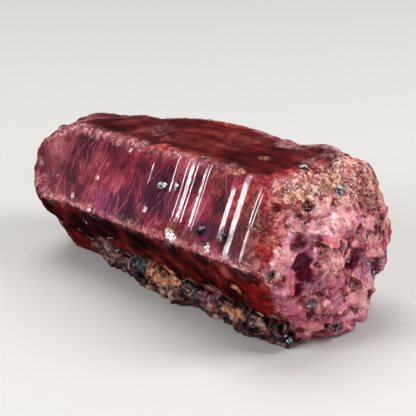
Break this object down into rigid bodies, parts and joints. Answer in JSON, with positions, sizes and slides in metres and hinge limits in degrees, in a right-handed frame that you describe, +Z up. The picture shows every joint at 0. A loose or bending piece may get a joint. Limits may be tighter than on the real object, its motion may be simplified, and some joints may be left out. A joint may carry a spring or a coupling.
{
  "type": "raw ruby crystal",
  "caption": "Raw six-sided ruby crystal lying on a prism face, tapering to one end and broken across the other, with a rind of dark micaceous rock along its foot.",
  "frame": {"origin": "under the middle of the whole object, on the surface it rests on", "axes": "+X along the crystal's long axis to the thick broken end, +Z up, -Y to the front, which shows the growth steps and the rind"},
  "size_m": [0.0454, 0.0222, 0.0205],
  "materials": {
    "ruby": "natural crystal faces, satin with glassy growth steps, and a rough break at one end",
    "matrix_rock": "rough, iron-stained feldspar with dark shiny mica"
  },
  "bodies": {
    "root": {"ruby_crystal": "ruby", "matrix_rind": "matrix_rock"}
  },
  "joints": []
}
